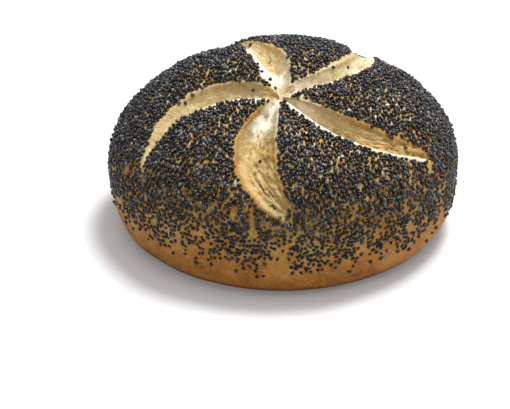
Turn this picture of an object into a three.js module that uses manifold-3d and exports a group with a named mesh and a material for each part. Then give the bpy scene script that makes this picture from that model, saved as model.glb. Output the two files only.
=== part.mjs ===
// A poppy-seed star roll: a round bun of one solid, flat under its foot. Five curved star cuts
// run from a sunken centre over its shoulder, and poppy seeds are baked on between them.
// Millimetres, +Z up, front towards -Y, resting on z = 0 with the origin under the middle of its box.
import * as THREE from "three";
import { mergeGeometries, mergeVertices } from "three/addons/utils/BufferGeometryUtils.js";
import Module from "manifold-3d";

const bun = {
  halfWidth: 52.5, // along X, at the waist, the widest ring
  halfDepth: 48, // along Y, at the waist
  waistHeight: 19.4,
  crownHeight: 54.8, // of the dome before the star is pressed in
  domeFlatness: 1.51, // a higher power of the radius flattens the top
  domeFullness: 2.05, // a higher root fills out the shoulder
  backLift: 3.2, // how far the dough rises more at the back than in the middle
  footShare: 0.843, // the flat foot's radius as a share of the waist's
  footShift: 0.7, // the foot stands this far to the left of the dome
  bellyFullness: 2.29, // 2 is an ellipse between the waist and the foot
  swells: [
    { x: -17.5, y: 28, radius: 8.3, height: -3.4 }, // the back left petal sank beside the back cut
    { x: -12.8, y: 31, radius: 6.9, height: 2.4 }, // and the back petal rose there
    { x: 21.5, y: 30, radius: 3.6, height: -3.2 }, // it sank a little at the right back cut's end
    { x: 27, y: 26, radius: 2.5, height: 1.6 }, // which itself stayed up
  ],
};

const star = {
  centreX: -1.1,
  centreY: -10.9,
  cutDepth: 4.6, // below the petals beside it
  cutShallowing: 2.5, // power of the way out at which a cut runs out
  hubRise: 0.75, // share of the depth that is missing where the cuts meet
  hubReach: 0.17, // how far out that lasts, as a share of a cut's length
  lipRounding: 0.11, // share of the depth by which a lip is rounded
  bandSwell: 1.25, // these three shape a cut's width along its way
  bandRise: 0.45,
  bandClose: 0.7,
  bandLeast: 0.006, // half width at a cut's very ends
  sagDepth: 4.7, // the petals lean down to the cuts by this
  sagReach: 7.9,
  blend: 6, // how hard the deepest of several cuts wins
  samples: 90,
};

// Each cut starts at an angle and sweeps on by degrees as it goes out, late for a high curl, to a
// share of the radius. Its band's half widths right and left, looking outwards, run through four
// values from the centre to its end, where it closes late for a high taper. Its valley lies between
// the right edge, -1, and the left edge, 1.
const cuts = [
  {
    start: 172.9, sweep: 38.6, curl: 1.55, reach: 0.93, taper: 1.5, valley: 0.25,
    right: [3.3, 8.3, 8.1, 5.3],
    left: [8.2, 8.8, 5.9, 0.4],
  },
  {
    start: 246.9, sweep: 26.8, curl: 2.71, reach: 0.985, taper: 3.4, valley: -0.3,
    right: [3.7, 5.5, 6.8, 7.8],
    left: [4, 8.3, 9.4, 5.5],
  },
  {
    start: 305.1, sweep: 29.8, curl: 1.88, reach: 0.92, taper: 2.9, valley: -0.3,
    right: [1.5, 3, 4.4, 5.1],
    left: [2.4, 6.4, 6.9, 3.8],
  },
  {
    start: 378.7, sweep: 37, curl: 1.52, reach: 0.87, taper: 5, valley: -0.25,
    right: [5.1, 3.7, 3.2, 3.2],
    left: [4.6, 2.9, 3.3, 5.6],
  },
  {
    start: 458.1, sweep: 15.7, curl: 2.44, reach: 0.8, taper: 1.73, valley: -0.17,
    right: [9.7, 5.7, 4.7, 5.1],
    left: [3.7, 9.1, 8.1, 5.6],
  },
];

const grid = {
  domeRings: 22,
  bellyRings: 5,
  bandColumns: [0, 0.3, 0.65], // shares of a band's half width, from a cut's line to its edge
  petalColumns: 8,
  petalCrowding: 0.55, // draws the petal's columns towards the lips, where it bends most
  narrowestBand: 1.6, // the columns keep this half width past a cut's end
  widestBandShare: 0.4, // of the angle between two cuts, where the bands meet at the centre
  leastShare: 0.02, // of the radius, for the band's angles near the centre
};

const seeds = {
  wanted: 238,
  spacing: 5.8,
  tries: 60000,
  length: 1.4,
  breadth: 1.18,
  thickness: 1,
  sizeSpread: 0.1,
  sides: 5,
  layers: 3,
  proud: 0.15, // of a seed's middle above the crust
  dropHeight: 3,
  bandClearance: 1.14, // no seed within this share of a band's half width
  lowestWay: 1.6, // seeds are drawn from the centre, 0, to this place on the belly
  fullHeight: 17, // seeds thin out from here down to the bare height
  bareHeight: 9,
  randomStart: 11,
};

const quarterTurn = Math.PI / 2;
const step = 1e-3; // for slopes, in ring coordinates
const rimShare = 0.9995; // the furthest out that a cut's line is followed
const weldDistance = 1e-5;

const limit = (value, low, high) => Math.min(Math.max(value, low), high);
const radians = THREE.MathUtils.degToRad;

// Height of the dome: the waist plus the crown's rise times (1 - r^flatness)^(1/fullness), plus the
// swells, each a bell of height * exp(-(distance/radius)^2).
function domeHeight(x, y) {
  const r = Math.min(Math.hypot(x / bun.halfWidth, y / bun.halfDepth), 1);
  const rise = (1 - r ** bun.domeFlatness) ** (1 / bun.domeFullness);
  let height = bun.waistHeight + (bun.crownHeight - bun.waistHeight) * rise;
  height += (bun.backLift * y * (1 - r * r)) / bun.halfDepth;
  for (const swell of bun.swells) {
    const distance = Math.hypot(x - swell.x, y - swell.y) / swell.radius;
    height += swell.height * Math.exp(-distance * distance);
  }
  return height;
}

function shareAt(way) {
  return Math.sin(limit(way, 0, 1) * quarterTurn);
}

// The plain bun without its star. way runs from 0 at the star's centre to 1 at the waist and 2 at the
// foot. Each ring on the dome is the waist's ellipse shrunk about the star's centre.
function plainPoint(way, angle) {
  if (way > 1) {
    const turn = Math.min(way - 1, 1) * quarterTurn;
    const power = 2 / bun.bellyFullness;
    const pull = bun.footShare + (1 - bun.footShare) * Math.max(Math.cos(turn), 0) ** power;
    return new THREE.Vector3(
      bun.halfWidth * pull * Math.cos(angle) - bun.footShift * Math.sin(turn) ** 2,
      bun.halfDepth * pull * Math.sin(angle),
      bun.waistHeight * (1 - Math.sin(turn) ** power),
    );
  }
  const share = shareAt(way);
  const x = star.centreX * (1 - share) + bun.halfWidth * share * Math.cos(angle);
  const y = star.centreY * (1 - share) + bun.halfDepth * share * Math.sin(angle);
  return new THREE.Vector3(x, y, domeHeight(x, y));
}

// Outward normal of any surface of way and angle.
function normalOf(surface, way, angle) {
  const near = Math.max(way, 2 * step);
  const out = surface(near + step, angle).sub(surface(near - step, angle));
  const round = surface(near, angle + step).sub(surface(near, angle - step));
  return out.cross(round).normalize();
}

function cutAngle(cut, share) {
  return radians(cut.start + cut.sweep * limit(share / cut.reach, 0, 1) ** cut.curl);
}

// Half width of a cut's band on one side: a Bezier curve through its four widths, opening and
// closing as along^rise * (1 - along^taper)^close.
function bandWidth(cut, side, along) {
  const [first, second, third, fourth] = cut[side];
  const rest = 1 - along;
  const inner = rest ** 3 * first + 3 * rest * rest * along * second;
  const outer = 3 * rest * along * along * third + along ** 3 * fourth;
  const form = along ** star.bandRise * (1 - along ** cut.taper) ** star.bandClose;
  return Math.max(star.bandSwell * (inner + outer) * form, star.bandLeast);
}

// A cut's line on the plain dome: points with the directions along it, up from the crust and to its left.
function cutLine(cut) {
  const points = [];
  const ups = [];
  for (let i = 0; i < star.samples; i++) {
    const share = Math.min((cut.reach * i) / (star.samples - 1), rimShare);
    const way = Math.asin(share) / quarterTurn;
    points.push(plainPoint(way, cutAngle(cut, share)));
    ups.push(normalOf(plainPoint, way, cutAngle(cut, share)));
  }
  return points.map((point, i) => {
    const next = points[Math.min(i + 1, points.length - 1)];
    const last = points[Math.max(i - 1, 0)];
    const forward = next.clone().sub(last).normalize();
    const left = ups[i].clone().cross(forward).normalize();
    return { point, forward, left, along: i / (star.samples - 1) };
  });
}

const cutLines = cuts.map(cutLine);

// How deep the star lies under the plain dome at a point, and how near the point is to the closest
// band: 0 on its line, 1 at its edge. A cut's section is a sine trough between its edges with rounded
// lips, and the petals sag towards it by a bell curve. Several cuts join by a power mean, so the
// deepest wins.
function starAt(point) {
  let carved = 0;
  let sagged = 0;
  let nearest = Infinity;
  cuts.forEach((cut, k) => {
    const line = cutLines[k];
    let closest = line[0];
    for (const sample of line)
      if (sample.point.distanceToSquared(point) < closest.point.distanceToSquared(point)) closest = sample;
    const away = point.clone().sub(closest.point);
    const sideways = away.dot(closest.left);
    const forward = away.dot(closest.forward);
    let beyond = 0; // past either end of the line
    if (closest === line[0]) beyond = Math.min(forward, 0);
    if (closest === line[line.length - 1]) beyond = Math.max(forward, 0);
    const along = closest.along;
    const left = bandWidth(cut, "left", along);
    const right = bandWidth(cut, "right", along);
    const half = (left + right) / 2;
    const side = (sideways - (left - right) / 2) / half;
    const across = (side < 0 ? -1 : 1) * Math.hypot(side, beyond / half);
    const wall = across < cut.valley ? (across + 1) / (1 + cut.valley) : (1 - across) / (1 - cut.valley);
    const rounded = Math.sin(Math.min((Math.hypot(wall, star.lipRounding) + wall) / 2, 1) * quarterTurn);
    const hub = star.hubRise * Math.exp(-((along / star.hubReach) ** 2));
    const fade = Math.max(1 - along ** star.cutShallowing - hub, 0);
    carved += (rounded * star.cutDepth * fade) ** star.blend;
    const distance = Math.hypot(sideways, beyond) / star.sagReach;
    sagged += (star.sagDepth * Math.exp(-distance * distance) * (1 - along * along)) ** star.blend;
    nearest = Math.min(nearest, Math.abs(across));
  });
  return { depth: carved ** (1 / star.blend) + sagged ** (1 / star.blend), nearest };
}

function crustPoint(way, angle) {
  const plain = plainPoint(way, angle);
  return plain.addScaledVector(normalOf(plainPoint, way, angle), way > 1 ? 0 : -starAt(plain).depth);
}

// Angles of one ring's columns. They follow the cuts: some columns inside each band, so that its
// valley and lips stay sharp, and the rest spread over the petal up to the next band.
function columnAngles(share) {
  const angles = [];
  cuts.forEach((cut, k) => {
    const next = cuts[(k + 1) % cuts.length];
    const from = cutAngle(cut, share);
    const to = cutAngle(next, share) + (k + 1 < cuts.length ? 0 : 2 * Math.PI);
    const radius = Math.max(share, grid.leastShare) * bun.halfWidth;
    const edge = (owner, side) => {
      const half = bandWidth(owner, side, limit(share / owner.reach, 0, 1));
      return Math.min(Math.max(half, grid.narrowestBand) / radius / (to - from), grid.widestBandShare);
    };
    const first = edge(cut, "left");
    const last = 1 - edge(next, "right");
    const shares = grid.bandColumns.map((column) => column * first);
    for (let i = 0; i <= grid.petalColumns; i++) {
      const even = i / grid.petalColumns;
      const crowded = even - (grid.petalCrowding * Math.sin(2 * Math.PI * even)) / (2 * Math.PI);
      shares.push(first + (last - first) * crowded);
    }
    for (const column of grid.bandColumns.slice(1).reverse()) shares.push(1 - column * (1 - last));
    for (const part of shares) angles.push(from + (to - from) * part);
  });
  return angles;
}

// The bun as one closed surface: rings from the star's centre over the waist to the foot.
function bunGeometry() {
  const positions = [];
  const centre = crustPoint(0, 0);
  positions.push(centre.x, centre.y, centre.z);
  const rings = grid.domeRings + grid.bellyRings;
  for (let i = 1; i <= rings; i++) {
    const way = i <= grid.domeRings ? i / grid.domeRings : 1 + (i - grid.domeRings) / grid.bellyRings;
    for (const angle of columnAngles(shareAt(way))) {
      const point = crustPoint(way, angle);
      positions.push(point.x, point.y, point.z);
    }
  }
  positions.push(0, 0, 0);
  const columns = columnAngles(1).length;
  const last = positions.length / 3 - 1;
  const at = (ring, column) => 1 + ring * columns + (column % columns);
  const index = [];
  for (let c = 0; c < columns; c++) {
    index.push(0, at(0, c), at(0, c + 1));
    for (let r = 0; r + 1 < rings; r++) {
      index.push(at(r, c), at(r + 1, c), at(r + 1, c + 1));
      index.push(at(r, c), at(r + 1, c + 1), at(r, c + 1));
    }
    index.push(last, at(rings - 1, c + 1), at(rings - 1, c));
  }
  const geometry = new THREE.BufferGeometry();
  geometry.setAttribute("position", new THREE.Float32BufferAttribute(positions, 3));
  return geometry.setIndex(index);
}

// A repeatable stream of numbers from 0 to 1.
function randomStream(start) {
  let state = start;
  return () => {
    state = (state + 0x6d2b79f5) | 0;
    let mixed = Math.imul(state ^ (state >>> 15), 1 | state);
    mixed = (mixed + Math.imul(mixed ^ (mixed >>> 7), 61 | mixed)) ^ mixed;
    return ((mixed ^ (mixed >>> 14)) >>> 0) / 4294967296;
  };
}

// The seeds that show most, spread evenly over the petals and the upper belly: a point is drawn and
// kept where it is clear of the bands and of the seeds before it. Towards the foot fewer are kept.
// A line dropped on the facets along the crust's normal finds where the seed lies.
function seedsGeometry(facets) {
  const random = randomStream(seeds.randomStart);
  const drop = new THREE.Raycaster();
  const placed = [];
  const shapes = [];
  for (let i = 0; i < seeds.tries && placed.length < seeds.wanted; i++) {
    const way = seeds.lowestWay * random();
    const angle = 2 * Math.PI * random();
    const plain = plainPoint(way, angle);
    const luck = random();
    const height = (plain.z - seeds.bareHeight) / (seeds.fullHeight - seeds.bareHeight);
    if (luck > height || starAt(plain).nearest < seeds.bandClearance) continue;
    const point = crustPoint(way, angle);
    if (placed.some((other) => other.distanceTo(point) < seeds.spacing)) continue;
    const normal = normalOf(crustPoint, way, angle);
    drop.set(point.clone().addScaledVector(normal, seeds.dropHeight), normal.clone().negate());
    const [landing] = drop.intersectObject(facets);
    if (!landing) continue;
    placed.push(point);
    shapes.push(seedGeometry(landing.point, landing.face.normal, random));
  }
  return mergeGeometries(shapes);
}

// One seed: a faceted egg lying on the crust, turned at random about the crust's normal.
function seedGeometry(point, normal, random) {
  const size = 1 + seeds.sizeSpread * (2 * random() - 1);
  const turn = new THREE.Quaternion().setFromUnitVectors(new THREE.Vector3(0, 0, 1), normal);
  turn.multiply(new THREE.Quaternion().setFromAxisAngle(new THREE.Vector3(0, 0, 1), 2 * Math.PI * random()));
  const scale = new THREE.Vector3(seeds.length, seeds.thickness, seeds.breadth).multiplyScalar(size / 2);
  const middle = point.clone().addScaledVector(normal, seeds.proud);
  turn.multiply(new THREE.Quaternion().setFromAxisAngle(new THREE.Vector3(1, 0, 0), quarterTurn));
  const egg = new THREE.SphereGeometry(1, seeds.sides, seeds.layers);
  return egg.applyMatrix4(new THREE.Matrix4().compose(middle, turn, scale));
}

const wasm = await Module();
wasm.setup();

function solidFrom(geometry) {
  geometry.deleteAttribute("normal");
  geometry.deleteAttribute("uv");
  const merged = mergeVertices(geometry, weldDistance);
  return new wasm.Manifold(
    new wasm.Mesh({
      numProp: 3,
      vertProperties: merged.attributes.position.array,
      triVerts: new Uint32Array(merged.index.array),
    }),
  );
}

function geometryFrom(solid) {
  const mesh = solid.getMesh();
  const geometry = new THREE.BufferGeometry();
  geometry.setAttribute("position", new THREE.BufferAttribute(mesh.vertProperties, 3));
  geometry.setIndex(new THREE.BufferAttribute(mesh.triVerts, 1));
  geometry.computeVertexNormals();
  return geometry;
}

const bunFacets = bunGeometry();
const bareBun = new THREE.Mesh(bunFacets);
bareBun.updateMatrixWorld();
const seedFacets = seedsGeometry(bareBun);
const rollGeometry = geometryFrom(solidFrom(bunFacets).add(solidFrom(seedFacets)));
rollGeometry.computeBoundingBox();
const boxMiddle = rollGeometry.boundingBox.getCenter(new THREE.Vector3());
rollGeometry.translate(-boxMiddle.x, -boxMiddle.y, 0);

const bakedCrust = new THREE.MeshStandardMaterial({ color: 0xb98c52, roughness: 0.7, metalness: 0 });
const roll = new THREE.Mesh(rollGeometry, bakedCrust);
roll.name = "roll";

const breadRoll = new THREE.Group();
breadRoll.add(roll);

export default breadRoll;
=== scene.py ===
# A poppy-seed star roll dressed for rendering: the baked crust with its five torn cuts, and the seeds
# that stick to it. Shapes are worked out in millimetres and go into the meshes in metres.
import math
import bpy
import numpy as np
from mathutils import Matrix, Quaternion, Vector


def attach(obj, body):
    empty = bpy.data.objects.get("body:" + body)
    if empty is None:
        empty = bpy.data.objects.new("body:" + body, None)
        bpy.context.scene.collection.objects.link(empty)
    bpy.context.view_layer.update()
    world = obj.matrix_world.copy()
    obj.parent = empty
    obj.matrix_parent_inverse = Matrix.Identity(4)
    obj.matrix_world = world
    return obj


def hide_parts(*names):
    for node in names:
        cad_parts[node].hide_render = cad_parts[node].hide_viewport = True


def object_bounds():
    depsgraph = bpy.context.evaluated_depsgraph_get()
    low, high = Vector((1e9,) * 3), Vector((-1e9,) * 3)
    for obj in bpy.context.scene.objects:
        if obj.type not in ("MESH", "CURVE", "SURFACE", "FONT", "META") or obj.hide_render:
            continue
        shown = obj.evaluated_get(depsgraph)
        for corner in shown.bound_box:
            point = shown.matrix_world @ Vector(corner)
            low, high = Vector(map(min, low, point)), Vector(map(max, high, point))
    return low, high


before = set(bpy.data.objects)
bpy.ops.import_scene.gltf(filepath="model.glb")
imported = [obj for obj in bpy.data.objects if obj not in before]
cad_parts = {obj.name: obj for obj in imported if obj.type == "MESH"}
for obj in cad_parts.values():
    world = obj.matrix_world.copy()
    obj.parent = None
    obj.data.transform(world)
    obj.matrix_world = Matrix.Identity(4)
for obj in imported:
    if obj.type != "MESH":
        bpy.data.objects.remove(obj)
cadLow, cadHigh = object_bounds()
cadWidth = 105.095                                 # mm, the solid roll's box along X
mm = (cadHigh.x - cadLow.x) / cadWidth             # metres in a millimetre of the roll
print("frame loaded, one millimetre is", round(mm, 7), "m")


# sRGB hex to linear: c/12.92 up to 0.04045, else ((c + 0.055)/1.055) to the power 2.4
def linearColour(hexCode):
    channels = [int(hexCode[i:i + 2], 16) / 255 for i in (1, 3, 5)]
    linear = [c / 12.92 if c <= 0.04045 else ((c + 0.055) / 1.055) ** 2.4 for c in channels]
    return (*linear, 1.0)


# adds a node: settings are its own properties, inputs its sockets' values or the sockets that feed them
def addNode(tree, kind, settings=None, inputs=None):
    made = tree.nodes.new(kind)
    for name, value in (settings or {}).items():
        setattr(made, name, value)
    for name, value in (inputs or {}).items():
        if isinstance(value, bpy.types.NodeSocket):
            tree.links.new(value, made.inputs[name])
        else:
            made.inputs[name].default_value = value
    return made


# a material with its node tree and its shader
def newMaterial(name):
    material = bpy.data.materials.new(name)
    material.use_nodes = True
    return material, material.node_tree, material.node_tree.nodes["Principled BSDF"]


# 0 below low, 1 above high, and 3t^2 - 2t^3 between; low may be the larger, and then it falls
def smoothStep(low, high, value):
    part = np.clip((value - low) / (high - low), 0, 1)
    return part * part * (3 - 2 * part)


# smooth noise from -1 to 1: random values on a cubic lattice, blended by 6t^5 - 15t^4 + 10t^3
def latticeNoise(points, cell, seed):
    scaled = points / cell + 17.3 * (seed % 13) + 211
    corner = np.floor(scaled).astype(np.int64)
    part = scaled - corner
    ease = part ** 3 * (part * (6 * part - 15) + 10)
    total = np.zeros(points.shape[:-1])
    for offset in np.ndindex(2, 2, 2):
        spot = corner + np.array(offset)
        mixed = spot[..., 0] * 73856093 ^ spot[..., 1] * 19349663 ^ spot[..., 2] * 83492791 ^ seed * 961748941
        mixed = ((mixed ^ (mixed >> 13)) * 1274126177) & 0x7fffffff
        mixed = ((mixed ^ (mixed >> 15)) * 805459861) & 0x7fffffff
        weight = np.prod(np.where(np.array(offset) == 1, ease, 1 - ease), axis=-1)
        total += weight * (mixed / 0x3fffffff - 1)
    return total


# layers of the noise, each half as large and 0.6 times as strong as the one before
def layeredNoise(points, cell, seed, layers=3):
    total = sum(0.6 ** k * latticeNoise(points, cell / 2 ** k, seed + 7 * k) for k in range(layers))
    return total / sum(0.6 ** k for k in range(layers))


# a mesh object from points in millimetres and arrays of faces, smooth shaded, with values on its points
def meshPiece(name, points, faceArrays, values=None):
    mesh = bpy.data.meshes.new(name)
    corners = np.concatenate([faces.ravel() for faces in faceArrays])
    counts = np.concatenate([np.full(len(faces), faces.shape[1]) for faces in faceArrays])
    mesh.vertices.add(len(points))
    mesh.vertices.foreach_set("co", (points * mm).astype(np.float32).ravel())
    mesh.loops.add(len(corners))
    mesh.loops.foreach_set("vertex_index", corners.astype(np.int32))
    mesh.polygons.add(len(counts))
    mesh.polygons.foreach_set("loop_start", (np.cumsum(counts) - counts).astype(np.int32))
    mesh.polygons.foreach_set("use_smooth", np.ones(len(counts), dtype=bool))
    mesh.update(calc_edges=True)
    mesh.validate()
    for key, value in (values or {}).items():
        layer = mesh.attributes.new(key, "FLOAT", "POINT")
        layer.data.foreach_set("value", value.astype(np.float32).ravel())
    piece = bpy.data.objects.new(name, mesh)
    bpy.context.scene.collection.objects.link(piece)
    return piece


bun = {
    "halfWidth": 52.5,        # mm along X at the waist, the widest ring
    "halfDepth": 48.0,
    "waistHeight": 19.4,
    "crownHeight": 54.8,      # of the dome before the star is pressed in
    "domeFlatness": 1.51,
    "domeFullness": 2.05,
    "backLift": 3.2,          # the dough leans up towards the back
    "footShare": 0.843,       # the flat foot's radius as a share of the waist's
    "footShift": 0.7,         # mm that the foot stands to the left
    "bellyFullness": 2.29,
    "swells": [(-17.5, 28.0, 8.3, -3.4), (-12.8, 31.0, 6.9, 2.4),   # x, y, radius and height in mm
               (21.5, 30.0, 3.6, -3.2), (27.0, 26.0, 2.5, 1.6)],
}

star = {
    "centreX": -1.1,
    "centreY": -10.9,
    "cutDepth": 4.6,
    "cutShallowing": 2.5,
    "hubRise": 0.75,          # share of the depth that is missing where the cuts meet
    "hubReach": 0.17,
    "lipRounding": 0.11,
    "bandSwell": 1.25,
    "bandRise": 0.45,
    "bandClose": 0.7,
    "bandLeast": 0.006,       # mm
    "sagDepth": 4.7,
    "sagReach": 7.9,
    "blend": 6,
    "samples": 90,
}

# start and sweep in degrees, widths in mm from the centre outwards, right and left as seen looking
# outwards. A pair is the value by the centre and at the outer end: how brown the floor is, how brown
# a lip (bake), and how many mm beyond the lip stay free of seeds (bare). lip is where the lip's own
# brown begins, as a share of the way up the wall. tear is how torn the floor is, crumb how lumpy,
# and strewn the share of seeds that lie on the outer end.
cuts = [
    {"start": 172.9, "sweep": 38.6, "curl": 1.55, "reach": 0.93, "taper": 1.5, "valley": 0.25,
     "floor": (0.24, 0.26), "tear": 0.4, "crumb": 0.15, "strewn": 0.0,
     "right": {"widths": (3.3, 8.3, 8.1, 5.3), "bake": (0.28, 0.28), "lip": 0.5, "bare": (0.3, 0.3)},
     "left": {"widths": (8.2, 8.8, 5.9, 0.4), "bake": (0.0, 0.22), "lip": 0.7, "bare": (1.2, 0.3)}},
    {"start": 246.9, "sweep": 26.8, "curl": 2.71, "reach": 0.985, "taper": 3.4, "valley": -0.3,
     "floor": (0.3, 0.34), "tear": 1.0, "crumb": 1.0, "strewn": 0.4,
     "right": {"widths": (3.7, 5.5, 6.8, 7.8), "bake": (0.44, 0.54), "lip": 0.82, "bare": (0.3, 0.3)},
     "left": {"widths": (4.0, 8.3, 9.4, 5.5), "bake": (0.15, 0.45), "lip": 0.7, "bare": (0.3, 0.3)}},
    {"start": 305.1, "sweep": 29.8, "curl": 1.88, "reach": 0.92, "taper": 2.9, "valley": -0.3,
     "floor": (0.16, 0.36), "tear": 0.9, "crumb": 0.4, "strewn": 0.0,
     "right": {"widths": (1.5, 3.0, 4.4, 5.1), "bake": (0.02, 0.06), "lip": 0.6, "bare": (1.3, 0.7)},
     "left": {"widths": (2.4, 6.4, 6.9, 3.8), "bake": (0.2, 0.5), "lip": 0.62, "bare": (0.3, 0.3)}},
    {"start": 378.7, "sweep": 37.0, "curl": 1.52, "reach": 0.87, "taper": 5, "valley": -0.25,
     "floor": (0.2, 0.16), "tear": 0.8, "crumb": 0.6, "strewn": 0.0,
     "right": {"widths": (5.1, 3.7, 3.2, 3.2), "bake": (0.04, 0.1), "lip": 0.6, "bare": (0.9, 0.5)},
     "left": {"widths": (4.6, 2.9, 3.3, 5.6), "bake": (0.16, 0.3), "lip": 0.7, "bare": (0.3, 1.6)}},
    {"start": 458.1, "sweep": 15.7, "curl": 2.44, "reach": 0.8, "taper": 1.73, "valley": -0.17,
     "floor": (0.28, 0.22), "tear": 0.8, "crumb": 0.7, "strewn": 0.0,
     "right": {"widths": (9.7, 5.7, 4.7, 5.1), "bake": (0.16, 0.4), "lip": 0.7, "bare": (0.3, 0.5)},
     "left": {"widths": (3.7, 9.1, 8.1, 5.6), "bake": (0.0, 0.04), "lip": 0.5, "bare": (1.9, 0.5)}},
]


# the waist plus the crown's rise times (1 - r^flatness)^(1/fullness), leaning up towards the back,
# plus swells of height * exp(-(distance/radius)^2)
def domeHeight(x, y):
    r = np.minimum(np.hypot(x / bun["halfWidth"], y / bun["halfDepth"]), 1)
    rise = (1 - r ** bun["domeFlatness"]) ** (1 / bun["domeFullness"])
    lean = bun["backLift"] * y * (1 - r * r) / bun["halfDepth"]
    for middleX, middleY, radius, height in bun["swells"]:
        lean = lean + height * np.exp(-((x - middleX) ** 2 + (y - middleY) ** 2) / radius ** 2)
    return bun["waistHeight"] + (bun["crownHeight"] - bun["waistHeight"]) * rise + lean


# how far out of the star's centre a ring of the dome lies, as a share: sin(way * 90 degrees)
def shareAt(way):
    return np.sin(np.clip(way, 0, 1) * math.pi / 2)


# the bun without its star: way runs from 0 at the star's centre to 1 at the waist, 2 at the foot's
# rim and 3 at the middle of the foot. On the dome each ring is the waist's ellipse shrunk about
# the star's centre, and the belly is a superellipse between waist and foot.
def plainPoint(way, angle):
    share = shareAt(way)
    x = star["centreX"] * (1 - share) + bun["halfWidth"] * share * np.cos(angle)
    y = star["centreY"] * (1 - share) + bun["halfDepth"] * share * np.sin(angle)
    dome = np.stack([x, y, domeHeight(x, y)], -1)
    turn = np.clip(way - 1, 0, 1) * math.pi / 2
    power = 2 / bun["bellyFullness"]
    pull = bun["footShare"] + (1 - bun["footShare"]) * np.clip(np.cos(turn), 0, 1) ** power
    pull = np.where(way > 2, bun["footShare"] * (3 - way), pull)
    height = bun["waistHeight"] * (1 - np.sin(turn) ** power)
    across = bun["halfWidth"] * pull * np.cos(angle) - bun["footShift"] * np.sin(turn) ** 2
    belly = np.stack([across, bun["halfDepth"] * pull * np.sin(angle), height], -1)
    return np.where((way > 1)[..., None], belly, dome)


# unit normals of the plain bun, from the difference of points either side
def plainNormal(way, angle, step=1e-3):
    near = np.clip(way, 2 * step, 2.95)
    out = plainPoint(near + step, angle) - plainPoint(near - step, angle)
    around = plainPoint(near, angle + step) - plainPoint(near, angle - step)
    normal = np.cross(out, around)
    return normal / np.maximum(np.linalg.norm(normal, axis=-1, keepdims=True), 1e-12)


# the start angle plus sweep * (share/reach)^curl
def cutAngle(cut, share):
    part = np.clip(share / cut["reach"], 0, 1)
    return np.radians(cut["start"] + cut["sweep"] * part ** cut["curl"])


# half width on a side of a cut: a cubic Bezier curve of its widths, times t^rise * (1 - t^taper)^close
def bandWidth(cut, side, along):
    t = np.clip(along, 0, 1)
    first, second, third, fourth = cut[side]["widths"]
    width = ((1 - t) ** 3 * first + 3 * (1 - t) ** 2 * t * second
             + 3 * (1 - t) * t * t * third + t ** 3 * fourth)
    form = np.maximum(t, 1e-6) ** star["bandRise"] * (1 - t ** cut["taper"]) ** star["bandClose"]
    return np.maximum(star["bandSwell"] * width * form, star["bandLeast"])


# a cut's line on the dome, with unit vectors along it and to its left, and the spacing of its samples
def cutLine(cut):
    along = np.linspace(0, 1, star["samples"])
    share = np.minimum(cut["reach"] * along, 0.9995)
    way = np.arcsin(share) * 2 / math.pi
    points = plainPoint(way, cutAngle(cut, share))
    forward = np.gradient(points, axis=0)
    spacing = np.linalg.norm(forward, axis=1)
    forward /= spacing[:, None]
    left = np.cross(plainNormal(way, cutAngle(cut, share)), forward)
    left /= np.linalg.norm(left, axis=1, keepdims=True)
    return {"points": points, "forward": forward, "left": left, "spacing": spacing,
            "length": np.concatenate([[0], np.cumsum(spacing)[:-1]])}


cutLines = [cutLine(cut) for cut in cuts]


# linear blend of a table's rows at fractional places
def between(table, place):
    low = np.clip(np.floor(place).astype(int), 0, len(table) - 2)
    part = place - low
    part = part[:, None] if table.ndim > 1 else part
    return table[low] * (1 - part) + table[low + 1] * part


# where points lie beside a cut: how far along, 0 to 1 and in mm, how far to its left in mm, and how
# far past its ends; the nearest sample of the line is refined by sliding along it
def besideCut(points, line):
    squared = (points ** 2).sum(1)[:, None] + (line["points"] ** 2).sum(1) - 2 * points @ line["points"].T
    place = squared.argmin(1).astype(float)
    last = star["samples"] - 1
    for _ in range(3):
        away = points - between(line["points"], place)
        forward = (away * between(line["forward"], place)).sum(1)
        place = np.clip(place + forward / between(line["spacing"], place), 0, last)
    away = points - between(line["points"], place)
    forward = (away * between(line["forward"], place)).sum(1)
    sideways = (away * between(line["left"], place)).sum(1)
    beyond = np.where((place <= 0) | (place >= last), forward, 0)
    return place / last, between(line["length"], place), sideways, beyond


crustShape = {
    "rings": (132, 40, 12),   # on the dome, the belly and the foot
    "bandColumns": 22,        # from a cut's line to its lip
    "petalColumns": 56,
    "narrowestBand": 1.6,     # mm, the columns keep this half width past a cut's end
    "widestBandShare": 0.4,
    "leastShare": 0.02,       # of the waist's radius, where the columns are spread by the centre
    "starFades": (1.12, 0.98),     # ways over which the star ends, just below the waist
    "lumpsFade": (1.97, 1.6),      # and the lumps, above the foot
    "lumps": [(21, 0.55), (9, 0.22), (3.2, 0.07)],   # size and height of the uneven dough, mm
    "edgeWander": 0.07,       # share of the band's width that its lips wander in and out
    "leastWander": 0.4,       # times this by the centre, and this + 1 at the outer end
    "edgeWave": 6.5,          # mm
    "valleyWander": 0.09,     # share of it that the valley wanders across
    "valleyWave": 4,
    "sidesApart": 9,          # mm between a cut's two lips in the noise that moves them
    "cutsApart": 40.0,        # and between the cuts
    "valleysApart": 9,
    "lipRidge": 0.55,         # mm that a lip stands up
    "ridgePlace": 0.95,       # as a share of the way from a cut's line to its lip
    "ridgeSpread": 0.13,
    "farAway": 9.0,           # across for a point that belongs to no cut
}

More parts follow.
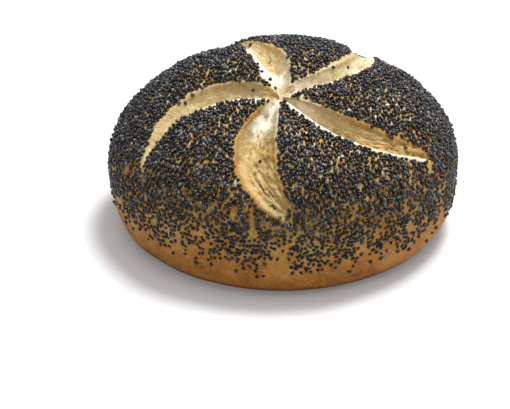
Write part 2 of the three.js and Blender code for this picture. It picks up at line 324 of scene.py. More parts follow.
# marks in the torn floors: height or depth, size along and across the cut, all in mm, the width of
# those drawn as lines of noise, and how dark they are, as painted shade in their hollows and lines
tornMarks = {
    "folds": {"height": 0.3, "size": (7, 1.5)},                                # long, along the floor
    "wrinkles": {"height": 0.48, "size": (2.4, 1.1), "dark": 0.25},            # short, across the folds
    "creases": {"height": 0.3, "size": (4, 1.2), "line": 0.15, "dark": 0.35},  # thin, along the floor
    "cracks": {"height": 0.4, "size": (1.7, 1.2), "line": 0.16, "dark": 0.8},  # jagged, down the middle
    "pits": {"height": 0.5, "size": (2.0, 1.3), "dark": 0.6},                  # burst bubbles
    "crumb": {"height": 0.6, "size": (1.9, 1.9), "dark": 0.4},                 # lumps by the centre
    "grain": {"height": 0.15, "size": (1.2, 0.9)},                             # all over the floor
    "crumbEdge": {"height": 0.02, "size": (1, 1.5)},    # here the height is a share of the cut's length
}


# the star at some points: how deep it is pressed in, and for the nearest cut how far across its band
# the point is, how far along it, its wall from 0 at a lip to 1 in the valley, and its own numbers.
# A cut's section is a sine trough with rounded lips, petals sag to it by a bell curve, and the deepest
# cut wins by a power mean.
def starFields(points):
    count = len(points)
    carved, sagged = np.zeros(count), np.zeros(count)
    found = {key: np.full(count, crustShape["farAway"]) for key in
             ("near", "across", "along", "alongMm", "wall", "cut", "half")}
    for index, (cut, line) in enumerate(zip(cuts, cutLines)):
        along, alongMm, sideways, beyond = besideCut(points, line)
        left, right = bandWidth(cut, "left", along), bandWidth(cut, "right", along)
        half, middle = (left + right) / 2, (left - right) / 2
        side = (sideways - middle) / half
        lipPlace = np.stack([alongMm, np.sign(side) * crustShape["sidesApart"],
                             np.full(count, crustShape["cutsApart"] * index)], -1)
        wander = layeredNoise(lipPlace, crustShape["edgeWave"], 3, 3)
        wander = wander * crustShape["edgeWander"] * (crustShape["leastWander"] + along)
        across = np.sign(side) * np.hypot(side, beyond / half) * (1 + wander)
        valleyPlace = np.stack([alongMm, 0 * along, 0 * along + crustShape["valleysApart"] * index], -1)
        bend = latticeNoise(valleyPlace, crustShape["valleyWave"], 5)
        bend = cut["valley"] + crustShape["valleyWander"] * bend
        wall = np.where(across < bend, (across + 1) / (1 + bend), (1 - across) / (1 - bend))
        rounded = np.sin(np.minimum((np.hypot(wall, star["lipRounding"]) + wall) / 2, 1) * math.pi / 2)
        fade = 1 - along ** star["cutShallowing"] - star["hubRise"] * np.exp(-(along / star["hubReach"]) ** 2)
        carved += (rounded * star["cutDepth"] * np.maximum(fade, 0)) ** star["blend"]
        distance = np.hypot(sideways, beyond) / star["sagReach"]
        sagged += (star["sagDepth"] * np.exp(-distance ** 2) * (1 - along ** 2)) ** star["blend"]
        closer = np.abs(across) < found["near"]
        values = (np.abs(across), across, along, alongMm, np.clip(wall, 0, 1), index, half)
        for key, value in zip(found, values):
            found[key] = np.where(closer, value, found[key])
    found["depth"] = carved ** (1 / star["blend"]) + sagged ** (1 / star["blend"])
    return found


# angles of every ring's columns: an even share of them fans over each band from line to lip, the
# rest over the petal between
def columnAngles(share):
    parts = []
    for index, cut in enumerate(cuts):
        after = cuts[(index + 1) % len(cuts)]
        start = cutAngle(cut, share)
        end = cutAngle(after, share) + (2 * math.pi if index + 1 == len(cuts) else 0)
        radius = np.maximum(share, crustShape["leastShare"]) * bun["halfWidth"]
        edges = []
        for owner, side in ((cut, "left"), (after, "right")):
            half = bandWidth(owner, side, np.clip(share / owner["reach"], 0, 1))
            turn = np.maximum(half, crustShape["narrowestBand"]) / radius / (end - start)
            edges.append(np.minimum(turn, crustShape["widestBandShare"]))
        band = np.arange(crustShape["bandColumns"]) / crustShape["bandColumns"]
        petal = np.arange(crustShape["petalColumns"] + 1) / crustShape["petalColumns"]
        first, last = edges[0][:, None], 1 - edges[1][:, None]
        fan = np.concatenate([band * first, first + (last - first) * petal,
                              1 - band[:0:-1] * (1 - last)], axis=1)
        parts.append(start[:, None] + (end - start)[:, None] * fan)
    return np.concatenate(parts, axis=1)


# a number of the nearest cut at each point
def ofCut(fields, key):
    values = np.array([cut[key] for cut in cuts])
    return values[np.clip(fields["cut"], 0, len(cuts) - 1).astype(int)]


# numbers of the nearest cut's side that each point lies on
def ofSide(fields, key):
    values = np.array([[cut["right"][key], cut["left"][key]] for cut in cuts])
    return values[np.clip(fields["cut"], 0, len(cuts) - 1).astype(int), (fields["across"] > 0).astype(int)]


# a pair of numbers, blended from the centre to the outer end
def alongCut(fields, pairs):
    return pairs[..., 0] + (pairs[..., 1] - pairs[..., 0]) * smoothStep(0.15, 0.85, fields["along"])


# thin lines where noise crosses zero, from 0 to 1, broken up by a second noise
def noiseLines(places, width, seed):
    crossing = np.abs(layeredNoise(places, 1, seed, 2))
    broken = smoothStep(-0.1, 0.35, latticeNoise(places, 1.7, seed + 3))
    return smoothStep(width, 0.2 * width, crossing) * broken


# relief in the cuts in mm outwards, and from 0 to 1 how open the tears are, as painted shade in their
# creases, cracks, pits and hollows, and how much pale crumb shows. Each mark is noise stretched to its
# size along and across the cut, and the relief and the painted shade are sums of the marks, each times
# its height or its dark.
def tornRelief(fields):
    inside = smoothStep(1.0, 0.85, fields["near"])
    sideMm = fields["across"] * fields["half"]
    tear, crumb = ofCut(fields, "tear"), ofCut(fields, "crumb")
    apart = fields["cut"] * 31                         # so that each cut has noise of its own

    def places(mark):
        alongSize, sideSize = tornMarks[mark]["size"]
        return np.stack([fields["alongMm"] / alongSize, sideMm / sideSize, apart], -1)

    def tall(mark):
        return tornMarks[mark]["height"]

    def dark(mark):
        return tornMarks[mark]["dark"]

    middle = smoothStep(0.35, 0.85, fields["wall"])
    outer = smoothStep(0.3, 0.5, fields["along"])
    crumbEdge = fields["along"] + tall("crumbEdge") * latticeNoise(places("crumbEdge"), 1, 77)
    crumb = crumb * smoothStep(0.5, 0.25, crumbEdge) * inside
    folds = layeredNoise(places("folds"), 1, 21, 2)
    wrinkles = layeredNoise(places("wrinkles"), 1, 27, 2)
    creases = noiseLines(places("creases"), tornMarks["creases"]["line"], 33)
    creases = creases * inside * (0.4 + 0.6 * middle)
    cracks = noiseLines(places("cracks"), tornMarks["cracks"]["line"], 47)
    cracks = cracks * inside * middle * outer * tear
    pits = smoothStep(0.3, 0.5, layeredNoise(places("pits"), 1, 59, 3))
    pits = pits * smoothStep(0.5, 0.9, fields["wall"]) * tear * inside
    lumps = layeredNoise(places("crumb"), 1, 65, 3)
    grain = layeredNoise(places("grain"), 1, 87, 2)
    ridge = np.exp(-((fields["near"] - crustShape["ridgePlace"]) / crustShape["ridgeSpread"]) ** 2)
    ridge = ridge * (1 - np.clip(fields["along"], 0, 1) ** 4) * smoothStep(0.05, 0.3, fields["along"])
    height = inside * (tall("folds") * folds + tall("grain") * grain)
    height += inside * tall("wrinkles") * wrinkles * (0.3 + tear)
    height += tall("crumb") * (lumps + 0.6) * crumb
    height -= tall("creases") * creases * (0.4 + 0.6 * tear)
    height -= tall("cracks") * cracks + tall("pits") * pits
    height += crustShape["lipRidge"] * ridge
    # painted shade: the hollows among the crumb lumps and in the wrinkles are darkened
    hollowShade = dark("crumb") * smoothStep(0.0, -0.5, lumps) * crumb
    hollowShade += dark("wrinkles") * smoothStep(-0.1, -0.6, wrinkles) * inside * tear
    shadeInTears = dark("creases") * creases + dark("cracks") * cracks + dark("pits") * pits + hollowShade
    return height, np.clip(shadeInTears, 0, 1), crumb


# the crust: the plain bun pressed in by the star along its normals, with lumps and torn relief
def makeCrust():
    ways = [part + np.arange(1, count + 1) / count for part, count in enumerate(crustShape["rings"])]
    ways = np.concatenate(ways)[:-1]                   # the last would be the foot's middle
    angles = columnAngles(shareAt(ways))
    way = np.broadcast_to(ways[:, None], angles.shape)
    plain, normal = plainPoint(way, angles), plainNormal(way, angles)
    fields = starFields(plain.reshape(-1, 3))
    relief, tearShade, crumb = tornRelief(fields)
    lumps = sum(height * latticeNoise(plain.reshape(-1, 3), size, 71 + index)
                for index, (size, height) in enumerate(crustShape["lumps"]))
    onDome = smoothStep(*crustShape["starFades"], way).ravel()
    offFoot = smoothStep(*crustShape["lumpsFade"], way).ravel()
    height = (relief - fields["depth"]) * onDome + lumps * offFoot
    points = plain + normal * height.reshape(way.shape)[..., None]
    return {"way": way, "points": points, "fields": fields, "tearShade": tearShade * onDome, "crumb": crumb,
            "onDome": onDome}


# how brown each part is, from 0, cream, to 1, dark brown
baking = {
    "crownPetal": 0.44,
    "sidePetal": 0.5,
    "lowPetal": 0.62,
    "foot": 0.92,
    "crownToSide": (46, 26),  # mm, heights over which each turns into the next
    "sideToLow": (19, 9),
    # the bottom edge's brown is partly real tray browning, partly painted contact shade
    "lowToFoot": (4.5, 0),
    "hub": 0.15,              # how much browner the very middle of the star is
    "hubReach": 0.1,          # as a share of a cut's length
    "veinPale": 0.55,         # how much paler the crust is where it cracked
    "patch": 5,               # mm, size of the uneven browning
    "patchOnPetal": 0.16,     # how strong it is there
    "patchInCut": 0.06,
    "patchOnLip": 0.14,       # how far it moves the lip's brown
    "patchRise": 3,           # mm that it moves the heights
    "centrePoint": 0.15,
    "footPoint": 0.8,
}

veins = {
    "size": 3.5,              # mm
    "width": 0.08,
    "heights": (24, 36),      # mm, cracks show from the first and are whole at the second
}

# patches without seeds, each from one point to another in mm, with its half width, how brown it is
# and its painted shade: a flaked spot by the end of the third cut, streaks rubbed bare on the front
# left, cracks in the crown and below the third cut, a dark crescent crack by the foot in painted shade
scars = [
    ((43.0, -20.9, 30.9), (43.1, -22.7, 29.5), 1.3, 0.4, 0.0),
    ((7.1, 4.4, 52.6), (6.5, 2.1, 52.1), 0.5, 0.3, 0.0),
    ((21.2, -37.6, 33.9), (21.9, -38.4, 32.6), 0.6, 0.2, 0.0),
    ((-13.8, -39.9, 33.3), (-17.7, -42.6, 28.9), 0.55, 0.5, 0.0),
    ((-17.8, -40.2, 32.2), (-20.6, -41.4, 28.9), 0.5, 0.5, 0.0),
    ((-12.5, -43.2, 30.0), (-15.5, -44.3, 26.5), 0.4, 0.5, 0.0),
    ((34.8, -4.0, 43.4), (33.9, -13.1, 41.7), 0.3, 0.12, 0.0),
    ((38.1, -3.4, 41.4), (36.8, -12.9, 40.1), 0.3, 0.15, 0.0),
    ((30.1, -8.5, 45.1), (29.3, -13.5, 43.9), 0.3, 0.15, 0.0),
    ((18.5, -27.6, 40.3), (19.4, -29.6, 39.5), 0.35, 0.05, 0.0),
    ((21.1, -27.7, 39.5), (21.7, -30.0, 38.6), 0.35, 0.05, 0.0),
    ((23.7, -27.5, 38.6), (24.0, -29.5, 38.0), 0.35, 0.08, 0.0),
    ((-17.9, -20.8, 45.1), (-20.6, -25.0, 42.6), 0.3, 0.3, 0.0),
    ((20.1, -42.7, 6.3), (21.5, -41.2, 4.3), 0.3, 0.9, 1.0),
    ((21.5, -41.2, 4.3), (22.5, -41.3, 5.6), 0.3, 0.9, 1.0),
]

# how uneven the edges of scars and of bare lips are, as a share of their width, and the size of
# that unevenness in mm
ragged = {"scar": (0.5, 1.6), "lip": (0.7, 4)}


# thin cracks between the seeds on the crown, from 0 to 1
def veinShare(points):
    lines = noiseLines(points / veins["size"], veins["width"], 131)
    return lines * smoothStep(*veins["heights"], points[:, 2])


# how far points are inside each scar, as a share of its half width: 1 - distance to its line / half width
def scarShares(points):
    uneven, size = ragged["scar"]
    width = 1 + uneven * layeredNoise(points, size, 57, 2)
    shares = []
    for start, end, halfWidth, _, _ in scars:
        start, way = np.array(start), np.array(end) - np.array(start)
        part = np.clip((points - start) @ way / (way @ way), 0, 1)
        distance = np.linalg.norm(points - start - part[:, None] * way, axis=1)
        shares.append(1 - distance / (halfWidth * width))
    return np.array(shares)


# mm from a point to the seeds' edge beside the nearest cut, above 0 where seeds lie: how far the point
# is from the cut's lip, less the lip's bare width
def beyondBare(fields, points):
    uneven, size = ragged["lip"]
    bare = alongCut(fields, ofSide(fields, "bare")) * (1 + uneven * layeredNoise(points, size, 99, 2))
    return (fields["near"] - 1) * fields["half"] - bare


# how baked the crust is, from 0, cream, to 1, dark brown, and how much painted shade its tears get.
# Each part's brown is blended into the next: cuts opened late and stayed pale, lips and sides caught
# more heat, the foot lay on the tray, and the bottom edge is darkened further as painted contact shade.
def bakedShare(shape):
    fields = shape["fields"]
    points = shape["points"].reshape(-1, 3)
    inside = smoothStep(1.1, 0.98, fields["near"]) * shape["onDome"]
    patchy = layeredNoise(points, baking["patch"], 81, 3)
    begins = ofSide(fields, "lip")
    fall = smoothStep(begins, 0.5 + 0.5 * begins, fields["near"] + baking["patchOnLip"] * patchy)
    floor = alongCut(fields, ofCut(fields, "floor")) * (1 - shape["crumb"]) + baking["patchInCut"] * patchy
    lip = alongCut(fields, ofSide(fields, "bake"))
    hub = baking["hub"] * np.exp(-(fields["along"] / baking["hubReach"]) ** 2)
    band = floor + (lip - floor) * fall + hub
    height = points[:, 2] + baking["patchRise"] * patchy
    petal = baking["crownPetal"] + np.zeros(len(points))
    petal += (baking["sidePetal"] - petal) * smoothStep(*baking["crownToSide"], height)
    petal += (baking["lowPetal"] - petal) * smoothStep(*baking["sideToLow"], height)
    petal += baking["patchOnPetal"] * patchy - baking["veinPale"] * veinShare(points)
    # partly painted contact shade: the last mm above the table darken to the foot's brown
    petal += (baking["foot"] - petal) * smoothStep(*baking["lowToFoot"], points[:, 2] + patchy)
    petal += (lip - petal) * smoothStep(0.4, -0.1, beyondBare(fields, points)) * shape["onDome"]
    baked = petal + (band - petal) * inside
    tearShade = shape["tearShade"]
    # painted shade in the scars: each scar raises the tear shade to at least its own
    for share, (_, _, _, scarBaked, scarShade) in zip(scarShares(points), scars):
        baked += (scarBaked - baked) * smoothStep(-0.4, 0.2, share)
        tearShade = np.maximum(tearShade, scarShade * smoothStep(0, 0.5, share))
    return np.clip(baked, 0, 1), tearShade


crustShaped = makeCrust()
rings, columns = crustShaped["way"].shape
centre = plainPoint(np.array([1e-4]), np.array([0.0]))
centre[0, 2] -= starFields(centre)["depth"][0]
baked, tearShade = bakedShare(crustShaped)
crustPoints = np.concatenate([crustShaped["points"].reshape(-1, 3), centre, [[0, 0, 0]]])
grid = np.arange(rings * columns).reshape(rings, columns)
turned = np.roll(grid, -1, axis=1)
sheet = np.stack([grid[:-1], grid[1:], turned[1:], turned[:-1]], -1).reshape(-1, 4)
top = np.stack([np.full(columns, rings * columns), grid[0], turned[0]], -1)
foot = np.stack([np.full(columns, rings * columns + 1), turned[-1], grid[-1]], -1)
crust = meshPiece("crust", crustPoints, [sheet, top, foot], {
    "baked": np.concatenate([baked, [baking["centrePoint"], baking["footPoint"]]]),
    "tearShade": np.concatenate([tearShade, [0, 0]]),
})
print("crust made,", len(crust.data.polygons), "faces")


seedSpread = {
    "randomStart": 5,
    "crowd": 6.0,             # points drawn for each square millimetre
    "lowestWay": 1.7,         # no seed lies beyond this way
    "starlessWay": 1.1,       # and no cut counts beyond this one
    "strewnReach": 5,         # half widths from a cut that the strewn seeds at its end reach
    "gap": 0.9,               # mm between the middles of neighbours
    "upperGap": 1.2,          # of the seeds that lie on others
    "upperFromEdge": 0.5,     # mm, how far from a cut those begin
    "bareHeight": 3.2,        # mm, seeds begin here
    "fullHeight": 25,         # and lie close from here
    "thinning": 2.5,          # power of the growth between
    "crownHeights": (24, 46),     # mm, the crown's closer cover begins at the first, full at the second
    "clump": 3.1,             # mm, size of the uneven patches
    "clumpStretch": 0.55,     # below 1 they are longer upwards
    "clumpRise": 2,           # mm that a dense patch reaches lower
    "cover": 1.05,            # chance that a point keeps its seed
    "crownCover": 1.4,        # added on the crown
    "clumpCover": 2.4,        # added in a patch
    "leastCover": 0.1,
    "edgeWander": 0.8,        # mm that the seeds' edge wanders at a cut
    "edgeWave": 2.1,          # mm
    "lift": 0.1,              # mm, a seed's middle above the crust
    "liftSpread": 0.09,
    "upperLift": 0.6,
    "upperLiftSpread": 0.1,
    "leanDegrees": 25,
    "sizeSpread": 0.1,
    "sizeLimits": (0.75, 1.2),
    "lowTopLightShare": 0.4,          # share of the lighter tone that low seeds keep: painted light from above
    "topLightHeights": (10, 44),     # mm, heights over which that painted top light grows whole
    "strays": [               # x and y in mm of single seeds that lie in the cuts
        (-24.0, -2.9), (-26.9, -4.1), (-29.2, -5.3), (-30.9, -5.8), (-6.7, -30.2), (-1.7, -9.1),
        (-0.5, -9.4), (-2.3, -6.0), (-5.6, -5.7), (-4.1, -3.7), (-6.5, -1.3), (-9.1, -5.4),
        (25.9, -18.8), (35.3, -20.3), (14.7, 5.0), (19.1, 11.3), (-10.4, 28.0), (0.0, -9.2)],
}

seedKinds = {
    "slateSeeds": {"share": 0.32, "length": 1.36, "breadth": 1.1, "thickness": 0.96, "bend": 0.18},
    "blackSeeds": {"share": 0.32, "length": 1.33, "breadth": 1.08, "thickness": 0.94, "bend": 0.22},
    "brownSeeds": {"share": 0.17, "length": 1.28, "breadth": 1.04, "thickness": 0.91, "bend": 0.14},
    "greySeeds": {"share": 0.19, "length": 1.38, "breadth": 1.12, "thickness": 0.98, "bend": 0.2},
}


# pairs of points closer than a gap: points are sorted into cubes of that size, and each cube is
# compared with itself and half of its neighbours
def closePairs(points, gap):
    cell = np.floor(points / gap).astype(np.int64) - np.floor(points.min(0) / gap).astype(np.int64) + 1
    size = cell.max(0) + 2
    code = (cell[:, 0] * size[1] + cell[:, 1]) * size[2] + cell[:, 2]
    order = np.argsort(code, kind="stable")
    ordered = code[order]
    firsts, seconds = [], []
    offsets = [o for o in np.ndindex(3, 3, 3) if o >= (1, 1, 1)]
    for offset in offsets:
        shift = ((offset[0] - 1) * size[1] + offset[1] - 1) * size[2] + offset[2] - 1
        low = np.searchsorted(ordered, ordered + shift, "left")
        if shift == 0:
            low = np.arange(len(ordered)) + 1
        many = np.maximum(np.searchsorted(ordered, ordered + shift, "right") - low, 0)
        first = np.repeat(np.arange(len(ordered)), many)
        second = np.arange(many.sum()) - np.repeat(np.cumsum(many) - many, many) + np.repeat(low, many)
        first, second = order[first], order[second]
        near = ((points[first] - points[second]) ** 2).sum(1) < gap ** 2
        firsts.append(first[near])
        seconds.append(second[near])
    return np.concatenate(firsts), np.concatenate(seconds)


# thins points until no two are closer than the gap: a point stays when it comes before all its
# neighbours in a random order, its neighbours go, and so on with the rest
def spacedOut(points, gap, random):
    rank = random.permutation(len(points))
    first, second = closePairs(points, gap)
    undecided = np.ones(len(points), dtype=bool)
    kept = np.zeros(len(points), dtype=bool)
    while undecided.any():
        lowest = np.full(len(points), len(points))
        np.minimum.at(lowest, first, rank[second])
        np.minimum.at(lowest, second, rank[first])
        chosen = undecided & (rank < lowest)
        kept |= chosen
        undecided &= ~chosen
        for one, other in ((first, second), (second, first)):
            undecided[other[chosen[one]]] = False
        live = undecided[first] & undecided[second]
        first, second = first[live], second[live]
    return kept


# random points on the crust's grid, even by area, with the crust's normal and its fields there, each
# blended from its face's four corners by two random shares, s and t
def drawnOnCrust(random):
    points = crustShaped["points"]
    after = np.roll(points, -1, axis=1)
    a, b, c, d = points[:-1], points[1:], after[1:], after[:-1]
    normal = np.cross(c - a, b - d)
    area = np.linalg.norm(normal, axis=-1) / 2
    normal /= np.maximum(2 * area, 1e-9)[..., None]
    running = np.cumsum((area * (crustShaped["way"][:-1] < seedSpread["lowestWay"])).ravel())
    count = int(running[-1] * seedSpread["crowd"])
    row, column = np.divmod(np.searchsorted(running, random.random(count) * running[-1]), columns)
    beside = (column + 1) % columns
    s, t = random.random(count)[:, None], random.random(count)[:, None]

    def blended(values):
        values = values.reshape(rings, columns, -1)
        low = values[row, column] * (1 - t) + values[row, beside] * t
        high = values[row + 1, column] * (1 - t) + values[row + 1, beside] * t
        return low * (1 - s) + high * s

    fields = {key: blended(crustShaped["fields"][key])[:, 0] for key in ("near", "across", "along", "half")}
    fields["cut"] = crustShaped["fields"]["cut"].reshape(rings, columns)[row, column]
    starless = crustShaped["way"][row, column] > seedSpread["starlessWay"]
    fields["near"] = np.where(starless, crustShape["farAway"], fields["near"])
    return blended(points), -normal[row, column], fields


# where seeds lie: clear of the cuts, their bare lips and the scars, in patches, fewer towards the
# foot, on the crown a second lot on top of the first, and the strays, each at the drawn point nearest
# to its place. The chance that a point is wanted is the product of those shares.
def seedPlaces(random):
    points, normals, fields = drawnOnCrust(random)
    clumps = layeredNoise(points * [1, 1, seedSpread["clumpStretch"]], seedSpread["clump"], 91, 2)
    wander = seedSpread["edgeWander"] * layeredNoise(points, seedSpread["edgeWave"], 95, 2)
    edge = beyondBare(fields, points) + wander
    height = points[:, 2] + seedSpread["clumpRise"] * clumps
    height = smoothStep(seedSpread["bareHeight"], seedSpread["fullHeight"], height) ** seedSpread["thinning"]
    filled = smoothStep(*seedSpread["crownHeights"], points[:, 2])
    cover = seedSpread["cover"] + seedSpread["crownCover"] * filled + seedSpread["clumpCover"] * clumps
    chance = height * np.clip(cover, seedSpread["leastCover"], 1)
    chance *= (1 - veinShare(points)) * smoothStep(0.3, -0.1, scarShares(points).max(0))
    strewn = ofCut(fields, "strewn") * smoothStep(0.94, 0.99, fields["along"])
    strewn = strewn * (fields["near"] < seedSpread["strewnReach"])
    chance *= np.maximum(smoothStep(-0.1, 0.15, edge), strewn)
    wanted = random.random(len(points)) < chance
    lower = np.flatnonzero(wanted)
    lower = lower[spacedOut(points[lower], seedSpread["gap"], random)]
    doubled = (random.random(len(points)) < filled) & (edge > seedSpread["upperFromEdge"])
    upper = np.flatnonzero(wanted & doubled)
    upper = upper[spacedOut(points[upper], seedSpread["upperGap"], random)]
    onDome = np.flatnonzero(points[:, 2] >= bun["waistHeight"])
    above = points[onDome, :2]
    stray = [onDome[((above - place) ** 2).sum(1).argmin()] for place in seedSpread["strays"]]
    lowerLift = seedSpread["lift"] + seedSpread["liftSpread"] * random.normal(size=len(lower))
    upperLift = seedSpread["upperLift"] + seedSpread["upperLiftSpread"] * random.normal(size=len(upper))
    lift = np.concatenate([lowerLift, upperLift, np.full(len(stray), seedSpread["lift"])])
    chosen = np.concatenate([lower, upper, stray])
    return points[chosen], normals[chosen], lift


# one seed about the origin: an egg along X of three rings between two poles, bent like a kidney by
# moving it sideways by bend * (2x/length)^2
def seedShape(kind, around=6, ringCount=3):
    turn = np.arange(around) * 2 * math.pi / around
    v = np.arange(1, ringCount + 1)[:, None] * math.pi / (ringCount + 1)
    x = np.broadcast_to(np.cos(v), (ringCount, around))
    y, z = np.sin(v) * np.cos(turn), np.sin(v) * np.sin(turn)
    points = np.concatenate([[[1, 0, 0]], np.stack([x, y, z], -1).reshape(-1, 3), [[-1, 0, 0]]])
    bend = kind["bend"] * points[:, 0] ** 2
    points = points * np.array([kind["length"], kind["breadth"], kind["thickness"]]) / 2
    points[:, 1] += bend - kind["bend"] / 2
    ring = 1 + np.arange(around * ringCount).reshape(ringCount, around)
    turned = np.roll(ring, -1, axis=1)
    last = np.full(around, around * ringCount + 1)
    side = [np.stack([ring[k], ring[k + 1], turned[k + 1]], -1) for k in range(ringCount - 1)]
    side += [np.stack([ring[k], turned[k + 1], turned[k]], -1) for k in range(ringCount - 1)]
    cap = np.stack([np.zeros(around, int), ring[0], turned[0]], -1)
    base = np.stack([last, turned[-1], ring[-1]], -1)
    return points, np.concatenate([cap, base, *side])


# three unit vectors for each seed: up is the crust's normal leant at random, the first lies along
# the seed in a random direction
def seedFrames(normals, random):
    count = len(normals)
    lean = math.sin(math.radians(seedSpread["leanDegrees"]))
    up = normals + lean * random.normal(size=(count, 3))
    up /= np.linalg.norm(up, axis=1, keepdims=True)
    along = np.cross(up, random.normal(size=(count, 3)))
    along /= np.linalg.norm(along, axis=1, keepdims=True)
    return np.stack([along, np.cross(up, along), up], axis=1)


# one piece for each kind of seed: every seed is its kind's shape times its size, turned by its frame,
# at its point + normal * lift
def makeSeeds():
    random = np.random.default_rng(seedSpread["randomStart"])
    points, normals, lift = seedPlaces(random)
    frames = seedFrames(normals, random)
    sizes = np.clip(random.normal(1, seedSpread["sizeSpread"], len(points)), *seedSpread["sizeLimits"])
    # painted light: the tone, which moves a seed from dark towards its light colour, grows with height as if
    # lit from above
    paintedTopLight = smoothStep(*seedSpread["topLightHeights"], points[:, 2])
    tones = random.random(len(points)) * (seedSpread["lowTopLightShare"] + (1 - seedSpread["lowTopLightShare"]) * paintedTopLight)
    edges = np.cumsum([kind["share"] for kind in seedKinds.values()])
    owner = np.searchsorted(edges, random.random(len(points)) * edges[-1])
    made = []
    for index, (name, kind) in enumerate(seedKinds.items()):
        mine = owner == index
        shape, faces = seedShape(kind)
        middle = points[mine] + normals[mine] * lift[mine][:, None]
        placed = middle[:, None] + np.einsum("vk,nkj->nvj", shape, frames[mine]) * sizes[mine][:, None, None]
        numbered = faces[None] + (np.arange(mine.sum()) * len(shape))[:, None, None]
        piece = meshPiece(name, placed.reshape(-1, 3), [numbered.reshape(-1, 3)],
                          {"tone": np.repeat(tones[mine], len(shape))})
        print(name, mine.sum(), "seeds,", len(piece.data.polygons), "faces")
        made.append(piece)
    return made


seedPieces = makeSeeds()


# Baked wheat crust, oven browned: matt, with a faint sheen, cream where it tore open late and tan
# to dark brown elsewhere. One scale of colour runs from cream to dark brown, and an olive brown is
# mixed in as painted shade in the tears' creases, cracks, pits and hollows.
crustFinish = {
    "scale": [(0.0, "#f3ead8"), (0.2, "#ccb88f"), (0.3, "#bfa773"), (0.4, "#bc9656"), (0.5, "#b28440"),
              (0.6, "#ac7024"), (0.8, "#7a430f"), (1.0, "#411f07")],
    # olive brown painted shade for the tears' creases, cracks, pits and hollows
    "tearShadeColour": "#765f2c",
    "blotch": 4.5,            # mm
    "blotchShare": 0.22,      # how far it moves the colour along the scale
    "speckle": 1.0,           # mm
    "speckleShare": 0.4,
    "pore": 0.6,              # mm, drawn coarser than the real 0.2 mm so that it shows
    "poreDepth": 0.4,         # mm
    "poreStrength": 0.7,
    "roughness": 0.6,
    "specular": 0.25,
    "glow": 0.08,             # share of the light that sinks in and comes out again
    "glowReach": (1.6, 1.0, 0.5),     # mm, for red, green and blue
}


# the scale's colour at baked + blotch * share + speckle * share, less what the noises add on average
def crustMaterial():
    material, tree, shader = newMaterial("ovenBrownedWheatCrust")
    place = addNode(tree, "ShaderNodeTexCoord").outputs["Object"]
    baked = addNode(tree, "ShaderNodeAttribute", {"attribute_name": "baked"}).outputs["Fac"]
    tearShade = addNode(tree, "ShaderNodeAttribute", {"attribute_name": "tearShade"}).outputs["Fac"]
    noises = {}
    for name, detail in (("blotch", 4), ("speckle", 3), ("pore", 4)):
        noises[name] = addNode(tree, "ShaderNodeTexNoise", None, {
            "Vector": place, "Scale": 1 / (crustFinish[name] * mm), "Detail": detail}).outputs["Fac"]
    level = baked
    for name in ("blotch", "speckle"):
        level = addNode(tree, "ShaderNodeMath", {"operation": "MULTIPLY_ADD"},
                        {0: noises[name], 1: crustFinish[name + "Share"], 2: level}).outputs[0]
    average = (crustFinish["blotchShare"] + crustFinish["speckleShare"]) / 2
    level = addNode(tree, "ShaderNodeMath", {"operation": "SUBTRACT"}, {0: level, 1: average}).outputs[0]
    ramp = addNode(tree, "ShaderNodeValToRGB", None, {"Fac": level})
    stops = ramp.color_ramp.elements
    while len(stops) < len(crustFinish["scale"]):
        stops.new(0.5)
    for stop, (position, colour) in zip(stops, crustFinish["scale"]):
        stop.position = position
        stop.color = linearColour(colour)
    # painted shade: the tear shade attribute mixes the colour towards the olive brown in the tears
    colour = addNode(tree, "ShaderNodeMix", {"data_type": "RGBA"}, {0: tearShade, 6: ramp.outputs["Color"]})
    colour.inputs[7].default_value = linearColour(crustFinish["tearShadeColour"])
    tree.links.new(colour.outputs[2], shader.inputs["Base Color"])
    bump = addNode(tree, "ShaderNodeBump", None, {
        "Height": noises["pore"], "Strength": crustFinish["poreStrength"],
        "Distance": crustFinish["poreDepth"] * mm})
    tree.links.new(bump.outputs["Normal"], shader.inputs["Normal"])
    shader.inputs["Roughness"].default_value = crustFinish["roughness"]
    shader.inputs["Specular IOR Level"].default_value = crustFinish["specular"]
    shader.inputs["Subsurface Weight"].default_value = crustFinish["glow"]
    shader.inputs["Subsurface Radius"].default_value = [reach * mm for reach in crustFinish["glowReach"]]
    return material


# Dried poppy seed: a hard, finely netted skin, near black with a blue-grey bloom, that gives small
# soft glints; seeds higher up show more of the light colour, as painted light from above
seedFinish = {
    "slateSeeds": ("#060607", "#424348"),
    "blackSeeds": ("#030303", "#1d1c1b"),
    "brownSeeds": ("#0c0704", "#3a2a20"),
    "greySeeds": ("#101011", "#7a7c80"),
    "net": 0.45,              # mm, drawn coarser than the real 0.1 mm so that it shows
    "netShare": 1.6,          # how far it moves the colour from dark to light
    "darker": 0.85,           # taken off again
    "netDepth": 0.1,          # mm
    "roughness": 0.32,
    "specular": 0.55,
}


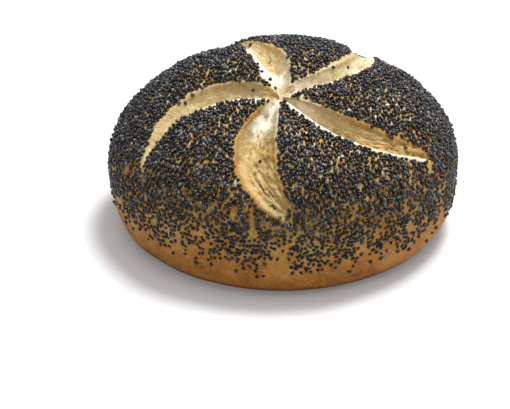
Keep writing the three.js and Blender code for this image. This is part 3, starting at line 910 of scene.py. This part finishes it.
# the blend from a kind's dark to its light colour at tone + net * share - darker; tone holds painted top
# light
def seedMaterial(name):
    dark, light = seedFinish[name]
    material, tree, shader = newMaterial("driedPoppySkin_" + name)
    place = addNode(tree, "ShaderNodeTexCoord").outputs["Object"]
    tone = addNode(tree, "ShaderNodeAttribute", {"attribute_name": "tone"}).outputs["Fac"]
    net = addNode(tree, "ShaderNodeTexNoise", None, {
        "Vector": place, "Scale": 1 / (seedFinish["net"] * mm), "Detail": 2}).outputs["Fac"]
    mixed = addNode(tree, "ShaderNodeMath", {"operation": "MULTIPLY_ADD"},
                    {0: net, 1: seedFinish["netShare"], 2: tone})
    level = addNode(tree, "ShaderNodeMath", {"operation": "SUBTRACT", "use_clamp": True},
                    {0: mixed.outputs[0], 1: seedFinish["darker"]})
    ramp = addNode(tree, "ShaderNodeValToRGB", None, {"Fac": level.outputs[0]})
    ramp.color_ramp.elements[0].color = linearColour(dark)
    ramp.color_ramp.elements[1].color = linearColour(light)
    tree.links.new(ramp.outputs["Color"], shader.inputs["Base Color"])
    bump = addNode(tree, "ShaderNodeBump", None,
                   {"Height": net, "Strength": 1, "Distance": seedFinish["netDepth"] * mm})
    tree.links.new(bump.outputs["Normal"], shader.inputs["Normal"])
    shader.inputs["Roughness"].default_value = seedFinish["roughness"]
    shader.inputs["Specular IOR Level"].default_value = seedFinish["specular"]
    return material


crust.data.materials.append(crustMaterial())
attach(crust, "root")
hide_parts("roll")
for piece in seedPieces:
    piece.data.materials.append(seedMaterial(piece.name))
    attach(piece, "root")
    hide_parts("roll")
print("materials assigned")


studio = {
    "floorSize": 8.0,         # m
    "floorColour": "#d8d8d8",
    "floorRoughness": 0.9,
    "floorGlow": 0.15,        # the table is lit from below
    "skyColour": "#fafbff",
    "skyStrength": 0.2,
    "softbox": {"place": (0.18, 0.06, 1.2), "size": 1.6, "power": 11},    # m from the roll's foot, and W
    "key": {"place": (0.25, 0.27, 1.1), "size": 0.36, "power": 15},
}

view = {
    "elevation": 30.0,        # degrees above the horizon
    "distance": 0.65,         # m from the aim point to the camera
    "aimHeight": 25.0,        # mm
    "lens": 151.5,            # mm
    "sensor": 36,             # mm wide
    "nearest": 0.01,          # m, what is nearer or farther isn't seen
    "farthest": 20,
    "frameWide": 510,         # pixels
    "frameHigh": 409,
    "aimPixel": (283.8, 144.7),   # where the aim point stands in the frame
}


# a square sheet of pale paper on the plane z = 0
def makeFloor():
    half = studio["floorSize"] / mm / 2
    corners = np.array([[-half, -half, 0], [half, -half, 0], [half, half, 0], [-half, half, 0]])
    floor = meshPiece("studioFloor", corners, [np.array([[0, 1, 2, 3]])])
    material, _, shader = newMaterial("matWhitePaper")
    shader.inputs["Base Color"].default_value = linearColour(studio["floorColour"])
    shader.inputs["Roughness"].default_value = studio["floorRoughness"]
    shader.inputs["Emission Color"].default_value = (1, 1, 1, 1)
    shader.inputs["Emission Strength"].default_value = studio["floorGlow"]
    floor.data.materials.append(material)


# a square area light that faces the roll
def makeLamp(name, setting):
    lamp = bpy.data.lights.new(name, "AREA")
    lamp.energy = setting["power"]
    lamp.size = setting["size"]
    made = bpy.data.objects.new(name, lamp)
    bpy.context.scene.collection.objects.link(made)
    made.location = Vector(setting["place"])
    made.rotation_euler = (-made.location).to_track_quat("-Z", "Y").to_euler()


# an even sky and two lamps
def makeLight():
    world = bpy.data.worlds.new("studioSky")
    bpy.context.scene.world = world
    world.use_nodes = True
    sky = world.node_tree.nodes["Background"]
    sky.inputs["Color"].default_value = linearColour(studio["skyColour"])
    sky.inputs["Strength"].default_value = studio["skyStrength"]
    for name in ("softbox", "key"):
        makeLamp(name, studio[name])


# the camera looks along +Y from its elevation, then turns a little so that the aim point stands at
# its pixel: focal length in pixels = lens / sensor * frame width, and each turn's tangent is the
# pixels from the frame's middle / that length
def makeCamera():
    lens = bpy.data.cameras.new("camera")
    lens.lens = view["lens"]
    lens.sensor_width = view["sensor"]
    lens.clip_start = view["nearest"]
    lens.clip_end = view["farthest"]
    camera = bpy.data.objects.new("camera", lens)
    bpy.context.scene.collection.objects.link(camera)
    raised = math.radians(view["elevation"])
    aim = Vector((0, 0, view["aimHeight"] * mm))
    camera.location = aim + view["distance"] * Vector((0, -math.cos(raised), math.sin(raised)))
    focal = view["lens"] / view["sensor"] * view["frameWide"]
    left = math.atan((view["aimPixel"][0] - view["frameWide"] / 2) / focal)
    down = math.atan((view["frameHigh"] / 2 - view["aimPixel"][1]) / focal)
    camera.rotation_mode = "QUATERNION"
    level = Quaternion((1, 0, 0), math.pi / 2 - raised)
    camera.rotation_quaternion = level @ Quaternion((0, 1, 0), left) @ Quaternion((1, 0, 0), -down)
    bpy.context.scene.camera = camera


makeFloor()
makeLight()
makeCamera()
bpy.context.scene.view_settings.view_transform = "Standard"
print("studio ready")
